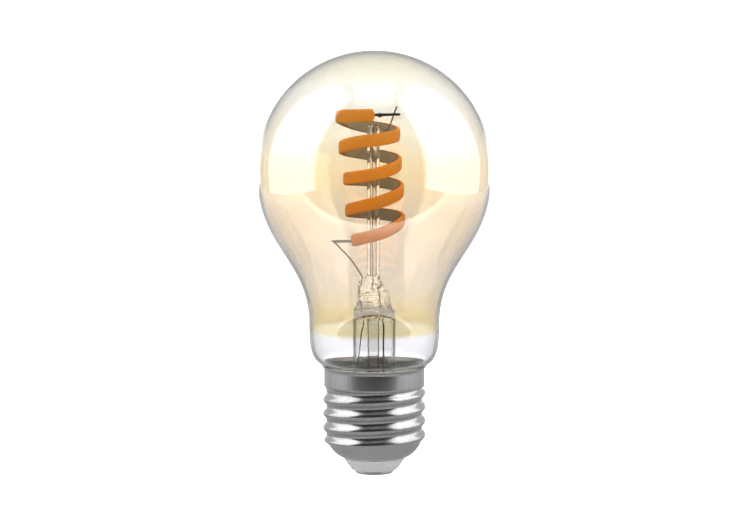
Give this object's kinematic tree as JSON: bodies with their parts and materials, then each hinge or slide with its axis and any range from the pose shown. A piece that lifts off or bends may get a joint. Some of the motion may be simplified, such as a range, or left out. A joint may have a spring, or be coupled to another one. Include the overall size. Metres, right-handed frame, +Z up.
{
  "type": "smart light bulb",
  "caption": "Filament-style smart light bulb: amber glass globe, coiled LED filament on a glass stem, and a threaded screw cap that holds a wireless driver.",
  "frame": {"origin": "middle of the centre contact's lower face, which is also the bottom centre of the lamp", "axes": "+Z up the lamp's axis from contact to dome, -Y towards the side that the coil's upper tab is on, +X to the right seen from there"},
  "size_m": [0.06, 0.06, 0.108],
  "materials": {
    "amber_glass": "smooth thin blown glass with a pale amber lustre coat that stops above the clear neck",
    "clear_glass": "smooth clear flint glass",
    "nickel_cap": "bright nickel-plated rolled sheet",
    "tinned_contact": "dull tinned face",
    "insulator_plastic": "milky white moulded plastic",
    "cement": "grainy grey-beige capping cement",
    "liner_film": "smooth polyester sleeve",
    "phosphor": "orange phosphor silicone, satin",
    "substrate": "tan-grey flexible strip, satin",
    "tab_metal": "dark welded metal",
    "lead_nickel": "drawn nickel wire",
    "lead_seal": "reddish copper-clad seal wire",
    "lead_copper": "dark tinned copper wire",
    "sleeve_fibre": "woven glass-fibre sleeve",
    "board_green": "green solder mask",
    "board_black": "black solder mask",
    "component_black": "matt moulded epoxy",
    "component_beige": "matt lacquer",
    "can_aluminium": "drawn metal can, satin",
    "winding_copper": "enamelled copper wire",
    "wire_red": "red wire insulation",
    "wire_white": "white wire insulation"
  },
  "bodies": {
    "root": {"glass_envelope": "amber_glass", "stem_flare": "clear_glass", "exhaust_tube": "clear_glass", "support_column": "clear_glass", "upper_lead_top": "lead_nickel", "upper_lead_bottom": "lead_nickel", "seal_wire_left": "lead_seal", "seal_wire_right": "lead_seal", "lower_lead_left": "lead_copper", "lower_lead_right": "lead_copper", "lead_sleeve_left": "sleeve_fibre", "lead_sleeve_right": "sleeve_fibre", "filament_phosphor": "phosphor", "filament_substrate": "substrate", "filament_tab_top": "tab_metal", "filament_tab_bottom": "tab_metal", "cap_shell": "nickel_cap", "insulator": "insulator_plastic", "centre_contact": "tinned_contact", "cement_ring": "cement", "insulating_liner": "liner_film", "driver_board": "board_green", "wireless_board": "board_black", "board_header": "component_black", "radio_shield": "can_aluminium", "bulk_capacitor": "can_aluminium", "power_inductor": "component_black", "inductor_winding": "winding_copper", "bridge_rectifier": "component_black", "driver_chip": "component_black", "fuse_resistor": "component_beige", "film_capacitor": "component_beige", "live_wire": "wire_red", "neutral_wire": "wire_white"}
  },
  "joints": []
}
